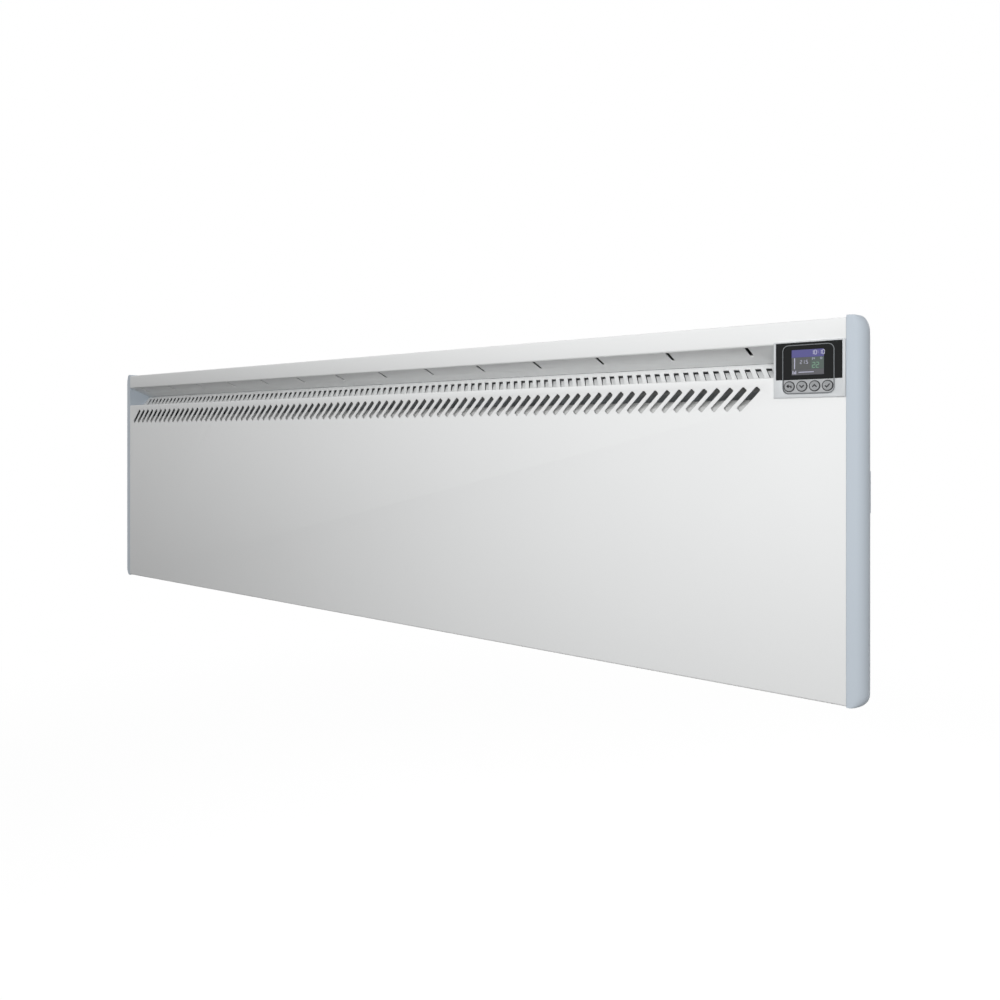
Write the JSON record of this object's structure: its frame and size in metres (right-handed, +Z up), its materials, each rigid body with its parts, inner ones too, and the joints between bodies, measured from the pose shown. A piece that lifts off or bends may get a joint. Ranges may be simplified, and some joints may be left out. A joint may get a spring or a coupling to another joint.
{
  "type": "wall panel convector heater",
  "caption": "Long low wall-hung electric convector with a slotted sheet-steel front, recessed sloping outlet, round-sided end caps, a small display with push buttons and a hook-on wall bracket.",
  "frame": {"origin": "centre of the wall bracket upper rail, on its wall face", "axes": "+X to the viewer's right when facing the front, +Y into the wall, +Z up"},
  "size_m": [1.35, 0.0949, 0.3878],
  "materials": {
    "coat": "white powder coat, fine satin",
    "galvanised": "galvanised sheet",
    "cap_plastic": "pale blue-grey moulded plastic, satin",
    "aluminium": "extruded, satin",
    "steel": "plain steel",
    "ceramic": "glazed steatite",
    "silver": "silver satin plastic",
    "black_glass": "black, polished",
    "lcd": "lit liquid crystal screen",
    "board": "green circuit board",
    "dark_plastic": "black moulded plastic",
    "white_plastic": "white moulded plastic"
  },
  "bodies": {
    "wall_bracket": {"bracket_rail_upper": "galvanised", "bracket_rail_lower": "galvanised", "bracket_arm_left": "galvanised", "bracket_hook_left": "galvanised", "bracket_foot_left": "galvanised", "bracket_arm_right": "galvanised", "bracket_hook_right": "galvanised", "bracket_foot_right": "galvanised"},
    "heater": {"front_panel": "coat", "top_hood": "coat", "outlet_grille": "coat", "front_baffle": "coat", "inlet_grille": "galvanised", "back_panel": "galvanised", "air_deflector": "galvanised", "left_frame": "galvanised", "right_frame": "galvanised", "cutout_clip": "galvanised", "element_holder_1": "galvanised", "element_holder_2": "galvanised", "element_holder_3": "galvanised", "element_holder_4": "galvanised", "left_cap": "cap_plastic", "right_cap": "cap_plastic", "element_fins_1": "aluminium", "element_fins_2": "aluminium", "element_rod_1": "steel", "element_rod_2": "steel", "casing_screw_1": "steel", "casing_screw_2": "steel", "casing_screw_3": "steel", "casing_screw_4": "steel", "ceramic_bush_1": "ceramic", "ceramic_bush_2": "ceramic", "ceramic_bush_3": "ceramic", "ceramic_bush_4": "ceramic", "control_housing": "silver", "display_bezel": "silver", "button_tray": "silver", "module_rim": "silver", "display_window": "black_glass", "lcd_panel": "lcd", "control_board": "board", "power_board": "board", "thermal_cutout": "dark_plastic", "air_sensor": "dark_plastic", "cable_gland": "dark_plastic", "gland_nut": "dark_plastic", "sensor_clip": "white_plastic", "rocker_frame": "white_plastic", "board_carrier": "white_plastic", "terminal_block": "white_plastic"},
    "button_1_body": {"button_1": "silver"},
    "button_2_body": {"button_2": "silver"},
    "button_3_body": {"button_3": "silver"},
    "button_4_body": {"button_4": "silver"},
    "rocker_body": {"mains_rocker": "white_plastic"}
  },
  "joints": [
    {"name": "lift_off", "type": "slide", "parent": "wall_bracket", "child": "heater", "axis": [0, 0, 1], "range_m": [0, 0.012]},
    {"name": "button_1_press", "type": "slide", "parent": "heater", "child": "button_1_body", "axis": [0, 1, 0], "range_m": [0, 0.0008], "stiffness_N_per_m": 300},
    {"name": "button_2_press", "type": "slide", "parent": "heater", "child": "button_2_body", "axis": [0, 1, 0], "range_m": [0, 0.0008], "stiffness_N_per_m": 300},
    {"name": "button_3_press", "type": "slide", "parent": "heater", "child": "button_3_body", "axis": [0, 1, 0], "range_m": [0, 0.0008], "stiffness_N_per_m": 300},
    {"name": "button_4_press", "type": "slide", "parent": "heater", "child": "button_4_body", "axis": [0, 1, 0], "range_m": [0, 0.0008], "stiffness_N_per_m": 300},
    {"name": "rocker_tilt", "type": "hinge", "parent": "heater", "child": "rocker_body", "pos_m": [0.66214, -0.04099, -0.046], "axis": [0.198, -0.9802, 0], "range_deg": [0, 12]}
  ]
}
